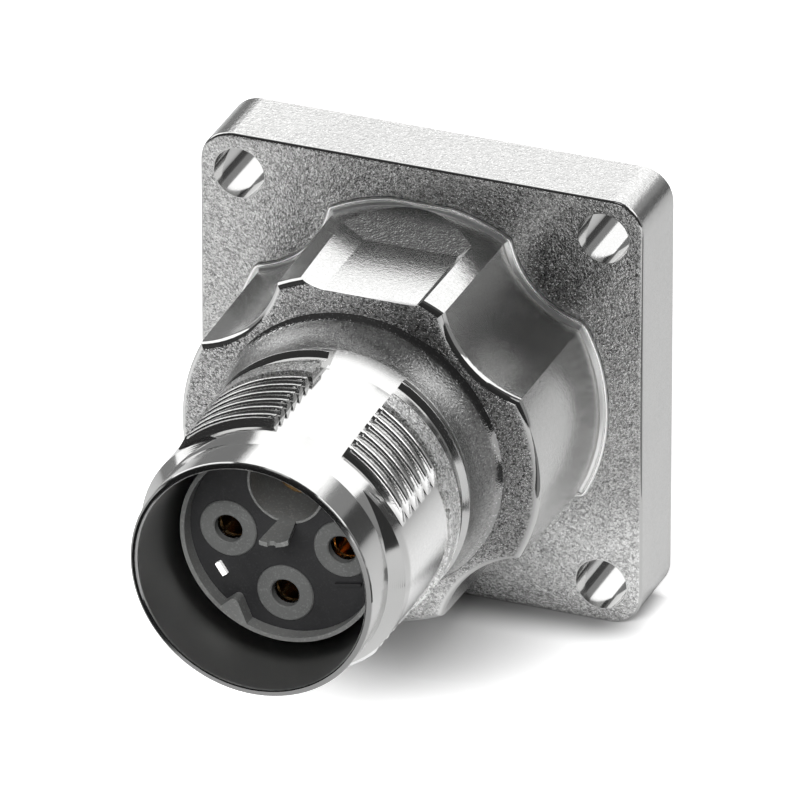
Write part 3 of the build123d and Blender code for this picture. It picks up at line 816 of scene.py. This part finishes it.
# %% Beads on the crests of the thread
CREST_BEAD_R = 0.21
CREST_PROUD = 0.03
CREST_FROM_END = 0.54 * PITCH
END_INSET = 0.3
FLAT_SINK = 0.2
lead = atan(PITCH / (2 * pi * ROOT_R))
crest_meshes = []
for start, end, flat in SECTORS:
    middle = (start + end) / 2
    phase = PITCH * ((middle / 360 + 0.5) % 1 - 0.5)
    crest_meshes.append(grown(bead_tree, bpy.data.meshes.new("empty"), {
        "Start angle": radians(start + END_INSET), "End angle": radians(end - END_INSET),
        "Flat angle": radians(flat), "Flat distance": (ROOT_R - FLAT_SINK) * MM,
        "Crest radius": (CREST_R + CREST_PROUD) * MM, "Bead radius": CREST_BEAD_R * MM,
        "Front y": station(THREAD_END - CREST_FROM_END + phase), "Spacing": PITCH * MM,
        "Middle y": station((THREAD_START + THREAD_END) / 2), "Slope": lead,
        "Beads": RIDGES, "Steps": 40, "Material": nickel,
    }))
joined("thread_crests", crest_meshes)

# %% [markdown]
# ## Fine edges of the latch ring
#
# The ring behind the thread has a rim and a land, and their edges catch the light as three
# hairlines in each of the ring's two parts. They could come from a bevel on a merged copy
# of the housing, but the same tree draws them at once: one bead each, level, and with the
# flat so far away that nothing sinks.

# %% Beads on the rim and on the land
EDGE_BEAD_R = 0.06
RIM_PROUD = 0.03
FAR_AWAY = 1.0
edge_meshes = [
    grown(bead_tree, bpy.data.meshes.new("empty"), {
        "Start angle": radians(start), "End angle": radians(end),
        "Flat angle": radians((start + end) / 2), "Flat distance": FAR_AWAY,
        "Crest radius": (CREST_R + proud) * MM, "Bead radius": EDGE_BEAD_R * MM,
        "Front y": station(s), "Spacing": 0.0, "Middle y": station(s), "Slope": 0.0,
        "Beads": 1, "Steps": 120, "Material": nickel,
    })
    for start, end in RINGS
    for s, proud in ((LAND_BACK, 0.0), (LAND_FRONT, 0.0), (RIM, RIM_PROUD))
]
joined("ring_edges", edge_meshes)

# %% [markdown]
# ## The bright foot line
#
# Where the lobed base grows out of the flange, the casting has a small rounded bead that
# catches the light as one thin line. Its path could be worked out from the lobes, but it is
# the foot's edge loop, which is already in the mesh of the housing, so the edges are copied
# from there. The second tree turns them into a curve, evens out its steps, lifts it off the
# flange and ends as the first one does.

# %% Geometry nodes: bead along given edges
g, given = new_tree(
    "bead along edges", {"Bead radius": 0.15 * MM, "Step": 0.25 * MM, "Lift": 0.1 * MM}, on_mesh=True)
loop_tree = g.tree
path = g.node("GeometryNodeMeshToCurve")
g.feed(path.inputs[0], given["Geometry"])
even = g.node("GeometryNodeResampleCurve", mode="LENGTH")
g.feed(even.inputs["Curve"], path.outputs[0])
g.feed(even.inputs["Length"], given["Step"])
lift = g.node("ShaderNodeCombineXYZ")
g.feed(lift.inputs["Y"], g.times(given["Lift"], -1.0))
raised = g.node("GeometryNodeSetPosition")
g.feed(raised.inputs["Geometry"], even.outputs[0])
g.feed(raised.inputs["Offset"], lift.outputs[0])
sweep_bead(g, given, raised.outputs[0])
print("tree:", loop_tree.name, "with", len(loop_tree.nodes), "nodes")

# %% Copy the foot's edges
NEAR = 0.002 * MM
FOOT_INNER, FOOT_OUTER = 8.0 * MM, (BODY_R + 0.5) * MM


def edges_where(mesh, keep):
    """The edges of a mesh whose two ends both pass a test, as a mesh of their own."""
    points = [v.co.copy() for v in mesh.vertices]
    pairs = [tuple(e.vertices) for e in mesh.edges if all(keep(points[i]) for i in e.vertices)]
    used = {}
    for pair in pairs:
        for i in pair:
            used.setdefault(i, len(used))
    loop = bpy.data.meshes.new("loop")
    loop.from_pydata([points[i] for i in used], [(used[i], used[j]) for i, j in pairs], [])
    merged = bmesh.new()
    merged.from_mesh(loop)
    bmesh.ops.remove_doubles(merged, verts=merged.verts, dist=NEAR)
    merged.to_mesh(loop)
    merged.free()
    return loop


def on_foot(point):
    across = (point.x**2 + point.z**2) ** 0.5
    return abs(point.y - station(0)) < NEAR and FOOT_INNER < across < FOOT_OUTER


foot_loop = edges_where(nodes["housing"].data, on_foot)
print("edges of the foot:", len(foot_loop.edges))

# %% Bead on the foot
foot_mesh = grown(loop_tree, foot_loop, {
    "Bead radius": 0.13 * MM, "Step": 0.25 * MM, "Lift": 0.1 * MM, "Material": nickel,
})
joined("foot_bead", [foot_mesh])

# %% [markdown]
# ## The floor
#
# The product stands on a white sweep. A sheet that is only lit would turn grey, and more
# light would burn out the metal. So the floor is a pale matt sheet with a glow of its own,
# which the camera sees and reflections don't. The glow fades towards the place under the
# barrel, where the lamp's own shadow then shows, and along the flange's foot, where a painted
# contact shadow also darkens the sheet's colour, as hardly any light gets in under the metal.

# %% Floor: where the glow fades
FLOOR_Z = BOX_BOTTOM * MM
FLOOR_SIZE = 6.0
PALE, PAINTED_CONTACT_SHADOW = (0.8, 0.8, 0.8, 1), (0.2, 0.2, 0.2, 1)
SHADOW_AT = (4.0 * MM, -8.5 * MM, FLOOR_Z)
CORE, EDGE = 2.0 * MM, 18.5 * MM
GLOW_LEAST, GLOW_MOST = 0.03, 0.95
CONTACT_SHADOW_REACH = 3.6

paper = bpy.data.materials.new("white sweep")
paper.use_nodes = True
paper.node_tree.nodes.clear()
r = Recipe(paper.node_tree)
spot = r.node("ShaderNodeTexCoord").outputs["Object"]
way = r.node("ShaderNodeVectorMath", operation="DISTANCE")
r.feed(way.inputs[0], spot)
way.inputs[1].default_value = SHADOW_AT
fade = r.node("ShaderNodeMapRange", interpolation_type="SMOOTHERSTEP")
for socket, value in zip(fade.inputs, (way.outputs["Value"], CORE, EDGE, GLOW_LEAST, GLOW_MOST)):
    r.feed(socket, value)
x, y = r.in_mm(spot)[:2]
# painted contact shadow along the flange's foot: a darker colour there, and no glow
contact = r.times(
    r.band(y, -FLANGE_T - CONTACT_SHADOW_REACH, -FLANGE_T, -1.0, 0.0),
    r.ramp(r.math("ABSOLUTE", x), 16.5, 11.0))
print("floor at z =", FLOOR_Z, "m")

# %% Floor: the sheet and its glow
rays = r.node("ShaderNodeLightPath")
shown = r.most(rays.outputs["Is Camera Ray"], rays.outputs["Is Transmission Ray"])
matt = r.node("ShaderNodeBsdfDiffuse")
r.feed(matt.inputs["Color"], r.mix(contact, PALE, PAINTED_CONTACT_SHADOW))
glow = r.node("ShaderNodeEmission")
r.feed(glow.inputs["Strength"], r.times(shown, fade.outputs[0], r.rest(r.times(contact, 0.97))))
both = r.node("ShaderNodeAddShader")
r.feed(both.inputs[0], matt.outputs[0])
r.feed(both.inputs[1], glow.outputs[0])
r.feed(r.node("ShaderNodeOutputMaterial").inputs["Surface"], both.outputs[0])

half = FLOOR_SIZE / 2
corners = [(x, y, FLOOR_Z) for x, y in ((-half, -half), (half, -half), (half, half), (-half, half))]
sheet = bpy.data.meshes.new("floor")
sheet.from_pydata(corners, [], [(0, 1, 2, 3)])
sheet.materials.append(paper)
floor = bpy.data.objects.new("floor", sheet)
scene.collection.objects.link(floor)
print("floor:", FLOOR_SIZE, "m wide")

# %% [markdown]
# ## The world
#
# The backdrop has to be white for the camera, but as a light it would wash the metal out.
# Light Path tells the two apart: what is seen, directly or in a reflection, is white, and
# what is lit gets a soft quarter of that.

# %% World
FILL, WHITE = 0.28, 1.0
world = bpy.data.worlds.new("studio")
scene.world = world
world.use_nodes = True
world.node_tree.nodes.clear()
r = Recipe(world.node_tree)
rays = r.node("ShaderNodeLightPath")
seen = r.most(*(rays.outputs[f"Is {kind} Ray"] for kind in ("Camera", "Transmission", "Glossy")))
background = r.node("ShaderNodeBackground")
r.feed(background.inputs["Strength"], r.mix(seen, FILL, WHITE))
r.feed(r.node("ShaderNodeOutputWorld").inputs["Surface"], background.outputs[0])
print("world:", world.name)

# %% [markdown]
# ## The room that the metal sees
#
# Polished metal shows nothing but its surroundings, so these matter more than the lamp. A
# picture of a studio could be wrapped round the scene, but a few cards of plain grey are
# easier to place: grey walls round the horizon, big bright sheets over them for the white
# highlight along the barrel, one small window in front for bright glints, a ring of dim
# ceiling, and dark cards on the floor. Only reflections see them.


# %% Cards
def as_card(name, points, faces, glow):
    """A mesh with an even glow that only reflections see."""
    mesh = bpy.data.meshes.new(name)
    mesh.from_pydata(points, [], faces)
    card = bpy.data.materials.new(name)
    card.use_nodes = True
    card.node_tree.nodes.clear()
    r = Recipe(card.node_tree)
    tone = r.node("ShaderNodeEmission")
    tone.inputs["Strength"].default_value = glow
    r.feed(r.node("ShaderNodeOutputMaterial").inputs["Surface"], tone.outputs[0])
    mesh.materials.append(card)
    wall = bpy.data.objects.new(name, mesh)
    scene.collection.objects.link(wall)
    for kind in ("camera", "diffuse", "transmission", "volume_scatter", "shadow"):
        setattr(wall, "visible_" + kind, False)
    return wall


print("a card is made by", as_card.__name__)

# %% Walls of the room
ROOM_R = 1.6
GROUND = None
SHEET_TOP = 57.0
ROOM_TOP = 80.0
WALL_STEPS = 48


def ring_wall(name, low, high, start, end, glow, nearer=0.0):
    """Part of an upright ring: from low to high in degrees above the horizon, seen from the
    product, and from start to end in degrees round it, from +y towards +x."""
    z0 = FLOOR_Z if low is GROUND else ROOM_R * tan(radians(low))
    z1 = ROOM_R * tan(radians(high))
    angles = [radians(start + (end - start) * k / WALL_STEPS) for k in range(WALL_STEPS + 1)]
    reach = ROOM_R - nearer
    points = [(reach * sin(a), reach * cos(a), z) for a in angles for z in (z0, z1)]
    faces = [(2 * k, 2 * k + 1, 2 * k + 3, 2 * k + 2) for k in range(WALL_STEPS)]
    return as_card(name, points, faces, glow)


walls = [
    ring_wall("room_right", GROUND, 28.5, 0, 90, 0.37),
    ring_wall("room_left", GROUND, 21.0, -50, 0, 0.29),
    ring_wall("room_right_dark", -3.0, 16.0, 31, 38, 0.08, nearer=0.05),
    ring_wall("room_left_middle", 20.0, 24.0, -40, -25, 0.29, nearer=0.05),
    ring_wall("room_left_high", 20.0, 37.0, -52, -32, 0.29, nearer=0.05),
    ring_wall("room_far_left", GROUND, 12.0, -90, -50, 0.36),
    ring_wall("room_front", GROUND, ROOM_TOP, 90, 270, 0.05),
    ring_wall("sheet_right", 28.5, SHEET_TOP, 0, 90, 1.95),
    ring_wall("sheet_left", 21.0, SHEET_TOP, -50, 0, 1.95),
    ring_wall("sheet_far_left", 12.0, SHEET_TOP, -90, -50, 1.95),
    ring_wall("window_front", 25.0, 35.0, 178, 199, 3.0, nearer=0.1),
    ring_wall("room_back", SHEET_TOP, ROOM_TOP, -90, 90, 0.12),
]
print("walls:", len(walls))

# %% Cards on the floor
CARD_LIFT = 0.1


def floor_card(name, x0, x1, y0, y1, glow):
    """A dark sheet on the floor beside the product; its sides are in millimetres."""
    z = FLOOR_Z + CARD_LIFT * MM
    points = [(x * MM, y * MM, z) for x, y in ((x0, y0), (x1, y0), (x1, y1), (x0, y1))]
    return as_card(name, points, [(0, 1, 2, 3)], glow)


floor_cards = [
    floor_card("room_floor_side", 30.0, 1600.0, -20.5, 0.0, 0.32),
    floor_card("room_floor_front", 30.0, 1600.0, -30.0, -20.5, 0.10),
    floor_card("room_floor_flag", -26.0, -6.0, -140.0, -46.0, 0.03),
]
print("floor cards:", len(floor_cards))

# %% [markdown]
# ## One soft box
#
# The plastics, the floor and its shadow need a real lamp: one soft box in front and above.
# It is hidden from reflections, because the sheets already stand for it there, and a second
# highlight would give it away.

# %% Lamp
LAMP_AT = Vector((0.07, -0.85, 0.54))
LAMP_SIZE, LAMP_WATTS = 0.5, 19.0
box_data = bpy.data.lights.new("key_front", "AREA")
box_data.shape = "SQUARE"
box_data.size = LAMP_SIZE
box_data.energy = LAMP_WATTS
soft_box = bpy.data.objects.new("key_front", box_data)
soft_box.location = LAMP_AT
soft_box.rotation_mode = "QUATERNION"
soft_box.rotation_quaternion = (-LAMP_AT).to_track_quat("-Z", "Y")
soft_box.visible_glossy = False
scene.collection.objects.link(soft_box)
print("lamp:", soft_box.name, LAMP_WATTS, "W")

# %% [markdown]
